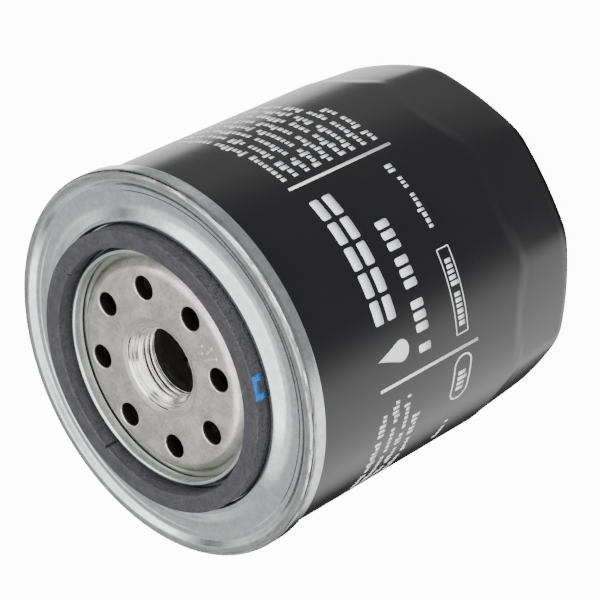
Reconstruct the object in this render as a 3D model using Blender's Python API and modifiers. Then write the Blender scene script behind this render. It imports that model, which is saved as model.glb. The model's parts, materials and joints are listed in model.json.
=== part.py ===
"""Spin-on engine oil filter, built as the separate pieces that the real one is assembled from.

Frame: metres, +Z along the filter's axis towards the threaded end. The origin is the centre
of the closed end's flat resting face, so the filter stands on its closed end.
"""
import math

import bmesh
import bpy
from mathutils import Matrix, Vector

MM = 0.001

# ---------------------------------------------------------------- driving dimensions
OVERALL_HEIGHT = 105.0 * MM      # closed end face to the gasket's sealing face
CAN_DIAMETER = 94.7 * MM
CAN_WALL = 0.6 * MM
GAP = 0.3 * MM                   # clearance between pieces that rest on or press into each other

# wrench flats pressed into the closed end
FLAT_COUNT = 10
FLAT_TOP = 27.5 * MM             # top of the pressed step above the resting face
FLAT_STEP = 4.5 * MM             # height of the pressed step
FLAT_STEP_DEPTH = 0.55 * MM      # how far the step goes in at the middle of a flat
FLAT_FOOT_DEPTH = 1.9 * MM       # depth of a flat's middle where the corner radius starts
CORNER_FOOT_DEPTH = 0.75 * MM    # the same at the corners between two flats
FLAT_PHASE = math.radians(-4.3)
END_ROLL = 6.5 * MM              # radius between the flats and the resting face

# rolled seam and seaming lid
LID_SHEET = 0.6 * MM
SEAM_OVERHANG = 1.25 * MM        # how far the rolled rim stands out from the can
RIM_BELOW_GASKET = 3.95 * MM     # top of the rolled rim below the gasket's sealing face
RIM_HEIGHT = 4.75 * MM
RING_OUTER_INSET = 3.75 * MM     # outer edge of the lid's broad ring, in from the can's side
RING_OUTER_DROP = 1.35 * MM      # below the top of the rim
BEAD_WIDTH = 2.0 * MM            # raised bead round the gasket
RING_INNER_DROP = 0.2 * MM
BEAD_RISE = 0.5 * MM             # of that bead above the top of the rim
LIP_WIDTH = 1.3 * MM             # folded lip inside the gasket
LIP_BELOW_GASKET = 3.0 * MM
SEALANT_HEIGHT = 1.4 * MM

# gasket
GASKET_OUTER_DIAMETER = 71.0 * MM
GASKET_WIDTH = 4.5 * MM
GASKET_THICKNESS = 5.0 * MM
GASKET_SIDE_CLEARANCE = 0.5 * MM
GASKET_LIP_CLEARANCE = 1.0 * MM

# base plate
PLATE_THICKNESS = 3.0 * MM
PLATEAU_BELOW_GASKET = 3.55 * MM
PLATEAU_LIP_CLEARANCE = 1.4 * MM  # between the plateau's shoulder and the lid's lip
PLATEAU_SHOULDER = 2.7 * MM
PLATE_EDGE_CLEARANCE = 2.1 * MM  # between the plate's edge and the can's inside wall
HOLE_COUNT = 8
HOLE_DIAMETER = 6.0 * MM
HOLE_EDGE_MARGIN = 1.45 * MM     # between the holes and the plateau's shoulder
HOLE_SEGMENTS = 16
THREAD_MAJOR_DIAMETER = 19.05 * MM
THREAD_PITCH = 1.5875 * MM
BOSS_LENGTH = 7.35 * MM          # from the plateau to the end of the threaded boss
BOSS_WALL = 3.0 * MM
MOUTH_CHAMFER = 0.9 * MM         # how far the mouth's chamfer is wider than the thread
MOUTH_DEPTH = 2.3 * MM

ELEMENT_SEAL_THICKNESS = 1.0 * MM  # rubber ring between the boss and the element's neck

# anti-drain valve
VALVE_TRAVEL = 1.2 * MM
VALVE_SHEET = 1.2 * MM
VALVE_SLEEVE_WALL = 1.6 * MM
VALVE_LIP_OVERLAP = 6.35 * MM    # how far the lip reaches past the inlet holes

# filter element
ELEMENT_SIDE_CLEARANCE = 4.75 * MM  # between the element's caps and the can's inside wall
END_CAP_SHEET = 0.6 * MM
END_CAP_SKIRT = 3.0 * MM
ADHESIVE_THICKNESS = 1.2 * MM
PLEAT_COUNT = 32
PLEAT_PAPER = 0.7 * MM
PLEAT_TIP = 1.4 * MM
SEAM_CLIP_SHEET = 0.4 * MM
SEAM_CLIP_LEG = 5.0 * MM
TUBE_DIAMETER = 36.0 * MM
TUBE_WALL = 0.7 * MM
TUBE_COLUMNS = 10
TUBE_ROWS = 5

# bypass valve in the lower end cap
BYPASS_PORT_DIAMETER = 12.0 * MM
BYPASS_SEAL_THICKNESS = 1.2 * MM
BYPASS_DISC_DIAMETER = 18.0 * MM
BYPASS_DISC_THICKNESS = 1.2 * MM
BYPASS_STEM_DIAMETER = 3.6 * MM
BYPASS_STEM_CLEARANCE = 0.4 * MM
BYPASS_STEM_STANDOUT = 1.5 * MM  # of the stem above the cage
BYPASS_DISC_CLEARANCE = 1.5 * MM  # between the disc and the cage round it
BYPASS_FLANGE_CLEARANCE = 2.5 * MM  # between the cage's flange and the centre tube
BYPASS_WINDOW_WIDTH = 13.0 * MM
BYPASS_CAGE_SHEET = 0.8 * MM
BYPASS_CAGE_HEIGHT = 20.0 * MM
BYPASS_SPRING_WIRE = 1.0 * MM
BYPASS_SPRING_DIAMETER = 13.0 * MM
BYPASS_SPRING_TURNS = 5

# support spring under the element
SUPPORT_WIRE = 1.8 * MM
SUPPORT_HEIGHT = 10.0 * MM
SUPPORT_BASE_DIAMETER = 52.0 * MM
SUPPORT_TOP_DIAMETER = 34.0 * MM
SUPPORT_TURNS = 3
SPRING_CUP_SHEET = 0.8 * MM
SPRING_CUP_FLANGE_DIAMETER = 56.0 * MM
SPRING_CUP_COLLAR = 2.0 * MM     # depth of the collar inside the spring's last turn

# how finely round pieces are divided
SEGMENTS_CAN = FLAT_COUNT * 6
SEGMENTS_LARGE = 56
SEGMENTS_PLATE = 48
SEGMENTS_SMALL = 32

# ---------------------------------------------------------------- sizes that follow
CAN_RADIUS = CAN_DIAMETER / 2
CAN_BORE_RADIUS = CAN_RADIUS - CAN_WALL
RIM_RADIUS = CAN_RADIUS + SEAM_OVERHANG
RIM_TOP = OVERALL_HEIGHT - RIM_BELOW_GASKET
RIM_BOTTOM = RIM_TOP - RIM_HEIGHT
RIM_HEM_RADIUS = CAN_RADIUS + GAP
CAN_FLANGE_RADIUS = RIM_RADIUS - LID_SHEET - GAP
CAN_TOP = RIM_TOP - LID_SHEET - 2 * GAP

GASKET_OUTER_RADIUS = GASKET_OUTER_DIAMETER / 2
GASKET_INNER_RADIUS = GASKET_OUTER_RADIUS - GASKET_WIDTH
GROOVE_OUTER_RADIUS = GASKET_OUTER_RADIUS + GASKET_SIDE_CLEARANCE
LIP_OUTER_RADIUS = GASKET_INNER_RADIUS - GASKET_LIP_CLEARANCE
LIP_INNER_RADIUS = LIP_OUTER_RADIUS - LIP_WIDTH
LIP_TOP = OVERALL_HEIGHT - LIP_BELOW_GASKET
GROOVE_FLOOR = OVERALL_HEIGHT - GASKET_THICKNESS - GAP
GROOVE_UNDERSIDE = GROOVE_FLOOR - LID_SHEET
RING_OUTER_RADIUS = CAN_RADIUS - RING_OUTER_INSET
RING_INNER_RADIUS = GROOVE_OUTER_RADIUS + BEAD_WIDTH
RING_UNDERSIDE = RIM_TOP - RING_OUTER_DROP - LID_SHEET

PLATE_TOP = min(GROOVE_UNDERSIDE, RING_UNDERSIDE) - GAP
PLATE_BOTTOM = PLATE_TOP - PLATE_THICKNESS
PLATE_RADIUS = CAN_BORE_RADIUS - PLATE_EDGE_CLEARANCE
PLATEAU_RADIUS = LIP_INNER_RADIUS - PLATEAU_LIP_CLEARANCE - PLATEAU_SHOULDER
PLATEAU_TOP = OVERALL_HEIGHT - PLATEAU_BELOW_GASKET
PLATEAU_UNDERSIDE = PLATEAU_TOP - PLATE_THICKNESS
HOLE_RADIUS = HOLE_DIAMETER / 2
HOLE_CIRCLE_RADIUS = PLATEAU_RADIUS - HOLE_EDGE_MARGIN - HOLE_RADIUS
THREAD_MAJOR_RADIUS = THREAD_MAJOR_DIAMETER / 2
THREAD_DEPTH = 0.5413 * THREAD_PITCH
THREAD_MINOR_RADIUS = THREAD_MAJOR_RADIUS - THREAD_DEPTH
MOUTH_RADIUS = THREAD_MAJOR_RADIUS + MOUTH_CHAMFER
BOSS_END = PLATEAU_TOP - BOSS_LENGTH
BOSS_RADIUS = THREAD_MAJOR_RADIUS + BOSS_WALL

VALVE_SLEEVE_RADIUS = BOSS_RADIUS + GAP
VALVE_LIP_RADIUS = HOLE_CIRCLE_RADIUS + HOLE_RADIUS + VALVE_LIP_OVERLAP
VALVE_LIP_TOP = PLATE_BOTTOM - GAP
ELEMENT_SEAL_TOP = BOSS_END - GAP
ELEMENT_TOP = ELEMENT_SEAL_TOP - ELEMENT_SEAL_THICKNESS - GAP
NECK_HOLE_RADIUS = THREAD_MAJOR_RADIUS + 0.4 * MM
NECK_RADIUS = VALVE_SLEEVE_RADIUS - GAP
VALVE_FOOT = BOSS_END - 2.5 * MM
CAP_TOP = VALVE_FOOT - VALVE_TRAVEL - 2 * GAP
CAP_SKIRT_RADIUS = CAN_BORE_RADIUS - ELEMENT_SIDE_CLEARANCE

SUPPORT_FLOOR = CAN_WALL + GAP
SPRING_CUP_BOTTOM = SUPPORT_FLOOR + SUPPORT_HEIGHT + GAP
CAP_BOTTOM = SPRING_CUP_BOTTOM + SPRING_CUP_SHEET + GAP
LOWER_CAP_INSIDE = CAP_BOTTOM + END_CAP_SHEET
UPPER_CAP_INSIDE = CAP_TOP - END_CAP_SHEET
MEDIA_BOTTOM = LOWER_CAP_INSIDE + ADHESIVE_THICKNESS + 2 * GAP
MEDIA_TOP = UPPER_CAP_INSIDE - ADHESIVE_THICKNESS - 2 * GAP
TUBE_RADIUS = TUBE_DIAMETER / 2
PLEAT_INNER_RADIUS = TUBE_RADIUS + PLEAT_PAPER + GAP
PLEAT_OUTER_RADIUS = CAP_SKIRT_RADIUS - END_CAP_SHEET - PLEAT_PAPER - GAP

PORT_RADIUS = BYPASS_PORT_DIAMETER / 2
SEAL_BOTTOM = LOWER_CAP_INSIDE + GAP
DISC_BOTTOM = SEAL_BOTTOM + BYPASS_SEAL_THICKNESS + GAP
DISC_TOP = DISC_BOTTOM + BYPASS_DISC_THICKNESS
CAGE_BOTTOM = LOWER_CAP_INSIDE + GAP
CAGE_TOP = CAGE_BOTTOM + BYPASS_CAGE_HEIGHT
DISC_RADIUS = BYPASS_DISC_DIAMETER / 2
CAGE_RADIUS = DISC_RADIUS + BYPASS_DISC_CLEARANCE + BYPASS_CAGE_SHEET
CAGE_FLANGE_RADIUS = TUBE_RADIUS - TUBE_WALL - BYPASS_FLANGE_CLEARANCE
STEM_RADIUS = BYPASS_STEM_DIAMETER / 2


def start_file():
    """Remove whatever the file holds and make the two collections."""
    for old in list(bpy.data.objects):
        bpy.data.objects.remove(old, do_unlink=True)
    made = []
    for name in ("oil_filter", "cutters"):
        collection = bpy.data.collections.new(name)
        bpy.context.scene.collection.children.link(collection)
        made.append(collection)
    return made


PARTS, CUTTERS = start_file()


# ---------------------------------------------------------------- materials
def material(name, colour, metallic, roughness):
    made = bpy.data.materials.new(name)
    made.use_nodes = True
    shader = made.node_tree.nodes["Principled BSDF"]
    shader.inputs["Base Color"].default_value = (*colour, 1.0)
    shader.inputs["Metallic"].default_value = metallic
    shader.inputs["Roughness"].default_value = roughness
    made.diffuse_color = (*colour, 1.0)
    return made


# ---------------------------------------------------------------- ways of making a piece
def finish(piece, look, smooth_angle=35.0):
    """Give a piece its material, its collection and smooth round faces."""
    piece.data.materials.append(look)
    PARTS.objects.link(piece)
    if piece.type == "MESH":
        piece.data.shade_smooth()
        piece.data.set_sharp_from_angle(angle=math.radians(smooth_angle))
    return piece


def profile_mesh(name, points):
    """Closed outline in the XZ plane: radius along X, height along Z."""
    mesh = bpy.data.meshes.new(name)
    edges = [(i, (i + 1) % len(points)) for i in range(len(points))]
    mesh.from_pydata([(r, 0.0, z) for r, z in points], edges, [])
    return mesh


def turned(name, points, look, segments):
    """Ring-shaped solid: a closed outline, clockwise from its outer top, turned about Z."""
    piece = bpy.data.objects.new(name, profile_mesh(name, points))
    screw = piece.modifiers.new("turn", "SCREW")
    screw.axis = "Z"
    screw.angle = math.tau
    screw.steps = segments
    screw.render_steps = segments
    screw.use_merge_vertices = True
    screw.merge_threshold = 0.00001
    return finish(piece, look)


def arc(centre_r, centre_z, radius, start, end, steps):
    """Points of an arc in a profile; angles in degrees, 0 outwards and 90 upwards."""
    points = []
    for i in range(steps + 1):
        angle = math.radians(start + (end - start) * i / steps)
        points.append((centre_r + radius * math.cos(angle), centre_z + radius * math.sin(angle)))
    return points


def loft_mesh(name, rings):
    """Closed solid through a row of loops with the same number of points, capped at both ends."""
    made = bmesh.new()
    loops = [[made.verts.new(point) for point in ring] for ring in rings]
    for lower, upper in zip(loops, loops[1:]):
        count = len(lower)
        for i in range(count):
            j = (i + 1) % count
            made.faces.new((lower[i], lower[j], upper[j], upper[i]))
    made.faces.new(loops[0])
    made.faces.new(loops[-1])
    bmesh.ops.recalc_face_normals(made, faces=made.faces)
    mesh = bpy.data.meshes.new(name)
    made.to_mesh(mesh)
    made.free()
    return mesh


def cutter(name, mesh):
    """Object that only cuts: hidden, drawn as wire, in its own collection."""
    made = bpy.data.objects.new(name, mesh)
    made.hide_render = True
    made.display_type = "WIRE"
    CUTTERS.objects.link(made)
    return made


def cut(piece, tool):
    boolean = piece.modifiers.new(tool.name, "BOOLEAN")
    boolean.operation = "DIFFERENCE"
    boolean.solver = "EXACT"
    boolean.object = tool


def coil_points(radius_at, bottom, top, turns, points_per_turn):
    """Helix whose first and last turns lie flat, as a ground spring's end turns do."""
    count = turns * points_per_turn
    points = []
    for i in range(count + 1):
        share = i / count
        rise = min(max((share * turns - 0.75) / (turns - 1.5), 0.0), 1.0)
        angle = math.tau * turns * share
        radius = radius_at(share)
        height = bottom + (top - bottom) * rise
        points.append((radius * math.cos(angle), radius * math.sin(angle), height))
    return points


def wire(name, points, diameter, look):
    """Round wire along a row of points, as a bevelled curve with filled ends."""
    curve = bpy.data.curves.new(name, "CURVE")
    curve.dimensions = "3D"
    curve.bevel_depth = diameter / 2
    curve.bevel_resolution = 2
    curve.use_fill_caps = True
    spline = curve.splines.new("POLY")
    spline.points.add(len(points) - 1)
    for target, point in zip(spline.points, points):
        target.co = (*point, 1.0)
    return finish(bpy.data.objects.new(name, curve), look)


# ---------------------------------------------------------------- casing
def flat_share(angle):
    """0 at a corner between two flats, 1 at the middle of a flat, along a straight chord."""
    share = math.tau / FLAT_COUNT
    offset = (angle - FLAT_PHASE) % share - share / 2
    corner = math.cos(share / 2)
    return (1.0 - corner / math.cos(offset)) / (1.0 - corner)


def can_ring(height, radius, flat_depth=0.0, corner_depth=0.0):
    """One loop of the can's wall, pressed in by one depth on the flats and one at their corners."""
    loop = []
    for i in range(SEGMENTS_CAN):
        angle = FLAT_PHASE + math.tau * i / SEGMENTS_CAN
        depth = corner_depth + (flat_depth - corner_depth) * flat_share(angle)
        distance = radius - depth
        loop.append((distance * math.cos(angle), distance * math.sin(angle), height))
    return loop


def can_wall(outset):
    """Loops from the closed end up to the plain wall, moved in from the outside by outset."""
    wall = CAN_RADIUS - outset
    roll = END_ROLL - outset
    loops = []
    for angle in (90.0, 68.0, 46.0, 24.0, 0.0):
        turn = math.radians(angle)
        inset = roll * (1.0 - math.cos(turn))
        height = END_ROLL - roll * math.sin(turn)
        loops.append(can_ring(height, wall - inset, FLAT_FOOT_DEPTH, CORNER_FOOT_DEPTH))
    loops.append(can_ring(FLAT_TOP - FLAT_STEP, wall, FLAT_STEP_DEPTH))
    loops.append(can_ring(FLAT_TOP, wall))
    return loops


def can(look):
    """Drawn steel cup with pressed flats at its closed end and a flange inside the seam."""
    outside = can_wall(0.0)
    inside = can_wall(CAN_WALL)
    flange_foot = CAN_TOP - CAN_WALL
    top = [
        can_ring(flange_foot, CAN_RADIUS),
        can_ring(flange_foot, CAN_FLANGE_RADIUS),
        can_ring(CAN_TOP, CAN_FLANGE_RADIUS),
        can_ring(CAN_TOP, CAN_BORE_RADIUS),
    ]
    mesh = loft_mesh("can", outside + top + inside[::-1])
    return finish(bpy.data.objects.new("can", mesh), look)


def seaming_lid(look):
    """Thin ring: gasket groove in the middle, folded lip inside it, rolled rim outside it."""
    crest = 1.3 * MM
    hem = 0.5 * MM
    ring_outer = RIM_TOP - RING_OUTER_DROP
    ring_inner = RIM_TOP - RING_INNER_DROP
    bead_top = RIM_TOP + BEAD_RISE
    chuck_radius = RING_OUTER_RADIUS + 1.6 * MM
    rim_inside = RIM_RADIUS - LID_SHEET
    lip_round = LIP_WIDTH / 2
    lip_middle = LIP_INNER_RADIUS + lip_round
    points = []
    points += arc(RIM_RADIUS - crest, RIM_TOP - crest, crest, 90, 0, 4)
    points += [
        (RIM_RADIUS, RIM_BOTTOM + hem),
        (RIM_RADIUS - hem, RIM_BOTTOM),
        (RIM_HEM_RADIUS, RIM_BOTTOM + hem),
        (rim_inside, RIM_BOTTOM + 2 * hem),
        (rim_inside, RIM_TOP - crest),
        (rim_inside - crest / 2, RIM_TOP - LID_SHEET),
        (chuck_radius + crest / 2, RIM_TOP - LID_SHEET - 0.4 * MM),
        (RING_OUTER_RADIUS, ring_outer - LID_SHEET),
        (RING_INNER_RADIUS, ring_inner - LID_SHEET),
        (GROOVE_OUTER_RADIUS + LID_SHEET, GROOVE_UNDERSIDE + 0.2 * MM),
        (GROOVE_OUTER_RADIUS, GROOVE_UNDERSIDE),
        (LIP_INNER_RADIUS, GROOVE_UNDERSIDE),
    ]
    points += arc(lip_middle, LIP_TOP - lip_round, lip_round, 180, 0, 4)
    points += [
        (LIP_OUTER_RADIUS, GROOVE_FLOOR),
        (GROOVE_OUTER_RADIUS, GROOVE_FLOOR),
        (GROOVE_OUTER_RADIUS, bead_top - 0.4 * MM),
        (GROOVE_OUTER_RADIUS + 0.8 * MM, bead_top),
        (RING_INNER_RADIUS, ring_inner),
        (RING_OUTER_RADIUS, ring_outer),
        (chuck_radius, RIM_TOP - 0.5 * MM),
    ]
    return turned("seaming_lid", points, look, SEGMENTS_LARGE)


def gasket(look):
    """Flat rubber ring of rectangular section with slightly rounded edges."""
    edge = 0.4 * MM
    bottom = OVERALL_HEIGHT - GASKET_THICKNESS
    points = [
        (GASKET_OUTER_RADIUS - edge, OVERALL_HEIGHT),
        (GASKET_OUTER_RADIUS, OVERALL_HEIGHT - edge),
        (GASKET_OUTER_RADIUS, bottom),
        (GASKET_INNER_RADIUS, bottom),
        (GASKET_INNER_RADIUS, OVERALL_HEIGHT - edge),
        (GASKET_INNER_RADIUS + edge, OVERALL_HEIGHT),
    ]
    return turned("sealing_gasket", points, look, SEGMENTS_LARGE)


def seam_sealant(look):
    """Bead of sealing compound inside the rolled seam, between the lid and the can's wall."""
    outer = CAN_BORE_RADIUS - GAP
    inner = PLATE_RADIUS + 2 * GAP
    top = RING_UNDERSIDE - GAP
    bottom = top - SEALANT_HEIGHT
    points = [(outer, top), (outer, bottom), (inner, bottom), (inner, top)]
    return turned("seam_sealant", points, look, SEGMENTS_SMALL)


# ---------------------------------------------------------------- base plate
def plate_profile():
    """Thick disc with a raised middle and a boss that the thread is cut in."""
    mouth_top = PLATEAU_TOP - 0.9 * MM
    shoulder = PLATEAU_SHOULDER
    points = [
        (PLATE_RADIUS, PLATE_TOP),
        (PLATE_RADIUS, PLATE_BOTTOM),
        (PLATEAU_RADIUS + 1.4 * MM, PLATE_BOTTOM),
        (PLATEAU_RADIUS - 0.2 * MM, PLATE_BOTTOM + 1.0 * MM),
        (PLATEAU_RADIUS - 0.6 * MM, PLATEAU_UNDERSIDE),
        (BOSS_RADIUS + 0.8 * MM, PLATEAU_UNDERSIDE),
        (BOSS_RADIUS, PLATEAU_UNDERSIDE - 0.8 * MM),
        (BOSS_RADIUS, BOSS_END + 0.4 * MM),
        (BOSS_RADIUS - 0.4 * MM, BOSS_END),
        (THREAD_MINOR_RADIUS + 0.5 * MM, BOSS_END),
        (THREAD_MINOR_RADIUS, BOSS_END + 0.4 * MM),
        (THREAD_MINOR_RADIUS, PLATEAU_TOP - MOUTH_DEPTH - THREAD_DEPTH),
        (THREAD_MAJOR_RADIUS, PLATEAU_TOP - MOUTH_DEPTH),
        (MOUTH_RADIUS, mouth_top),
        (MOUTH_RADIUS + 0.8 * MM, PLATEAU_TOP - 0.2 * MM),
        (MOUTH_RADIUS + 1.8 * MM, PLATEAU_TOP),
    ]
    points += arc(PLATEAU_RADIUS, PLATEAU_TOP - shoulder, shoulder, 90, 12, 4)
    points.append((PLATEAU_RADIUS + shoulder + 0.6 * MM, PLATE_TOP))
    return points


def hole_cutter():
    """Row of cylinders on the inlet holes' circle."""
    made = bmesh.new()
    middle = (PLATEAU_TOP + PLATEAU_UNDERSIDE) / 2
    part_of_a_segment = 0.4      # keeps the cylinders' corners off the plate's own edges
    roll = Matrix.Rotation(part_of_a_segment * math.tau / HOLE_SEGMENTS, 4, "Z")
    for i in range(HOLE_COUNT):
        turn = Matrix.Rotation(math.tau * i / HOLE_COUNT, 4, "Z")
        place = Matrix.Translation(Vector((HOLE_CIRCLE_RADIUS, 0.0, middle)))
        bmesh.ops.create_cone(
            made,
            cap_ends=True,
            segments=HOLE_SEGMENTS,
            radius1=HOLE_RADIUS,
            radius2=HOLE_RADIUS,
            depth=2 * PLATE_THICKNESS,
            matrix=turn @ place @ roll,
        )
    mesh = bpy.data.meshes.new("inlet_hole_cutter")
    made.to_mesh(mesh)
    made.free()
    return cutter("inlet_hole_cutter", mesh)


def thread_cutter():
    """Helical V that leaves the boss's screw thread, run out past both ends of the bore."""
    steps = SEGMENTS_PLATE // 2
    start = BOSS_END - THREAD_PITCH
    turns = math.ceil((PLATEAU_TOP - MOUTH_DEPTH + 1.2 * THREAD_PITCH - start) / THREAD_PITCH)
    inside = THREAD_MINOR_RADIUS - 0.2 * MM
    half_width = (THREAD_MAJOR_RADIUS - inside) * math.tan(math.radians(30))
    tip = 0.06 * MM
    root = THREAD_MAJOR_RADIUS
    section = ((inside, -half_width), (root, -tip), (root, tip), (inside, half_width))
    part_of_a_step = 0.29        # keeps the cutter's corners off the bore's own edges
    rings = []
    for i in range(turns * steps + 1):
        angle = math.tau * (i + part_of_a_step) / steps
        height = start + THREAD_PITCH * i / steps
        rings.append([(r * math.cos(angle), r * math.sin(angle), height + z) for r, z in section])
    return cutter("thread_cutter", loft_mesh("thread_cutter", rings))


def base_plate(look):
    plate = turned("base_plate", plate_profile(), look, SEGMENTS_PLATE)
    cut(plate, hole_cutter())
    cut(plate, thread_cutter())
    return plate


# ---------------------------------------------------------------- anti-drain valve
def anti_drain_valve(look):
    """Rubber bell: a sleeve round the boss and a lip that covers the inlet holes from inside."""
    sleeve_outer = VALVE_SLEEVE_RADIUS + VALVE_SLEEVE_WALL
    sleeve_top = PLATEAU_UNDERSIDE - 1.4 * MM
    bell = VALVE_FOOT + 1.2 * MM
    lip_bottom = VALVE_LIP_TOP - VALVE_SHEET
    points = [
        (VALVE_LIP_RADIUS - 0.5 * MM, VALVE_LIP_TOP),
        (VALVE_LIP_RADIUS, VALVE_LIP_TOP - 0.5 * MM),
        (VALVE_LIP_RADIUS - 0.3 * MM, lip_bottom),
        (sleeve_outer + 2.5 * MM, bell - VALVE_SHEET / 2),
        (sleeve_outer, VALVE_FOOT),
        (VALVE_SLEEVE_RADIUS, VALVE_FOOT),
        (VALVE_SLEEVE_RADIUS, sleeve_top),
        (sleeve_outer, sleeve_top),
        (sleeve_outer + 0.3 * MM, bell + VALVE_SHEET),
        (VALVE_LIP_RADIUS - 2.5 * MM, VALVE_LIP_TOP - 0.4 * MM),
    ]
    return turned("anti_drain_valve", points, look, SEGMENTS_SMALL)


# ---------------------------------------------------------------- filter element
def top_end_cap(look):
    """Pressed steel cap: a neck up to the boss, a flat web and a skirt round the paper."""
    sheet = END_CAP_SHEET
    points = [
        (CAP_SKIRT_RADIUS - 0.4 * MM, CAP_TOP),
        (CAP_SKIRT_RADIUS, CAP_TOP - 0.4 * MM),
        (CAP_SKIRT_RADIUS, CAP_TOP - END_CAP_SKIRT),
        (CAP_SKIRT_RADIUS - sheet, CAP_TOP - END_CAP_SKIRT),
        (CAP_SKIRT_RADIUS - sheet, CAP_TOP - sheet),
        (NECK_RADIUS - sheet, CAP_TOP - sheet),
        (NECK_RADIUS - sheet, ELEMENT_TOP - sheet),
        (NECK_HOLE_RADIUS, ELEMENT_TOP - sheet),
        (NECK_HOLE_RADIUS, ELEMENT_TOP),
        (NECK_RADIUS - 0.3 * MM, ELEMENT_TOP),
        (NECK_RADIUS, ELEMENT_TOP - 0.3 * MM),
        (NECK_RADIUS, CAP_TOP),
    ]
    return turned("top_end_cap", points, look, SEGMENTS_SMALL)


def element_seal(look):
    """Flat rubber ring on the element's neck, pressed against the end of the boss."""
    outer = NECK_RADIUS - 0.3 * MM
    bottom = ELEMENT_SEAL_TOP - ELEMENT_SEAL_THICKNESS
    points = [
        (outer, ELEMENT_SEAL_TOP),
        (outer, bottom),
        (NECK_HOLE_RADIUS, bottom),
        (NECK_HOLE_RADIUS, ELEMENT_SEAL_TOP),
    ]
    return turned("element_seal", points, look, SEGMENTS_SMALL)


def bottom_end_cap(look):
    """Pressed steel cap with the bypass port in its middle."""
    sheet = END_CAP_SHEET
    skirt_top = CAP_BOTTOM + END_CAP_SKIRT
    points = [
        (CAP_SKIRT_RADIUS, skirt_top),
        (CAP_SKIRT_RADIUS, CAP_BOTTOM + 0.4 * MM),
        (CAP_SKIRT_RADIUS - 0.4 * MM, CAP_BOTTOM),
        (PORT_RADIUS, CAP_BOTTOM),
        (PORT_RADIUS, LOWER_CAP_INSIDE),
        (CAP_SKIRT_RADIUS - sheet, LOWER_CAP_INSIDE),
        (CAP_SKIRT_RADIUS - sheet, skirt_top),
    ]
    return turned("bottom_end_cap", points, look, SEGMENTS_SMALL)


def adhesive_ring(name, bottom, look):
    """Ring of adhesive that holds one end of the paper in its cap."""
    outer = CAP_SKIRT_RADIUS - END_CAP_SHEET - GAP
    inner = TUBE_RADIUS - TUBE_WALL
    top = bottom + ADHESIVE_THICKNESS
    points = [(outer, top), (outer, bottom), (inner, bottom), (inner, top)]
    return turned(name, points, look, SEGMENTS_SMALL)


def pleated_paper(look):
    """Star-folded paper: a closed zigzag wall with flat fold tips, given its thickness."""
    made = bmesh.new()
    bottom = []
    inner_half = PLEAT_TIP / 2 / PLEAT_INNER_RADIUS
    outer_half = PLEAT_TIP / 2 / PLEAT_OUTER_RADIUS
    for i in range(PLEAT_COUNT):
        middle = math.tau * i / PLEAT_COUNT
        opposite = middle + math.pi / PLEAT_COUNT
        corners = (
            (PLEAT_INNER_RADIUS, middle - inner_half),
            (PLEAT_INNER_RADIUS, middle + inner_half),
            (PLEAT_OUTER_RADIUS, opposite - outer_half),
            (PLEAT_OUTER_RADIUS, opposite + outer_half),
        )
        for radius, angle in corners:
            bottom.append(made.verts.new((radius * math.cos(angle), radius * math.sin(angle), MEDIA_BOTTOM)))
    top = [made.verts.new((v.co.x, v.co.y, MEDIA_TOP)) for v in bottom]
    for i in range(len(bottom)):
        j = (i + 1) % len(bottom)
        made.faces.new((bottom[i], bottom[j], top[j], top[i]))
    mesh = bpy.data.meshes.new("pleated_paper")
    made.to_mesh(mesh)
    made.free()
    paper = bpy.data.objects.new("pleated_paper", mesh)
    sheet = paper.modifiers.new("thickness", "SOLIDIFY")
    sheet.thickness = PLEAT_PAPER
    sheet.offset = 0.0
    return finish(paper, look)


def paper_seam_clip(look):
    """Folded steel strip over the fold tip where the paper's two ends meet."""
    sheet = SEAM_CLIP_SHEET
    inside = PLEAT_OUTER_RADIUS + PLEAT_PAPER / 2 + GAP
    half = PLEAT_TIP / 2 + PLEAT_PAPER / 2 + GAP + 0.2 * MM
    leg_end = inside - SEAM_CLIP_LEG
    outline = (
        (inside + sheet, -half - sheet),
        (inside + sheet, half + sheet),
        (leg_end, half + sheet),
        (leg_end, half),
        (inside, half),
        (inside, -half),
        (leg_end, -half),
        (leg_end, -half - sheet),
    )
    bottom = CAP_BOTTOM + END_CAP_SKIRT + GAP
    top = CAP_TOP - END_CAP_SKIRT - GAP
    turn = Matrix.Rotation(math.pi / PLEAT_COUNT, 4, "Z")
    rings = [[turn @ Vector((x, y, z)) for x, y in outline] for z in (bottom, top)]
    mesh = loft_mesh("paper_seam_clip", rings)
    return finish(bpy.data.objects.new("paper_seam_clip", mesh), look)


def centre_tube(look):
    """Perforated steel tube: a rolled grid with every other cell in every other row left out."""
    columns = 2 * TUBE_COLUMNS
    rows = 2 * TUBE_ROWS + 1
    made = bmesh.new()
    bmesh.ops.create_grid(made, x_segments=columns, y_segments=rows, size=0.5)
    windows = []
    for face in made.faces:
        centre = face.calc_center_median()
        column = int((centre.x + 0.5) * columns)
        row = int((centre.y + 0.5) * rows)
        if column % 2 == 1 and row % 2 == 1:
            windows.append(face)
    bmesh.ops.delete(made, geom=windows, context="FACES")
    height = MEDIA_TOP - MEDIA_BOTTOM
    for vert in made.verts:
        angle = math.tau * (vert.co.x + 0.5)
        middle = MEDIA_BOTTOM + height * (vert.co.y + 0.5)
        vert.co = (TUBE_RADIUS * math.cos(angle), TUBE_RADIUS * math.sin(angle), middle)
    bmesh.ops.remove_doubles(made, verts=made.verts, dist=0.00001)
    mesh = bpy.data.meshes.new("centre_tube")
    made.to_mesh(mesh)
    made.free()
    tube = bpy.data.objects.new("centre_tube", mesh)
    sheet = tube.modifiers.new("thickness", "SOLIDIFY")
    sheet.thickness = TUBE_WALL
    sheet.offset = -1.0
    return finish(tube, look)


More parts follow.
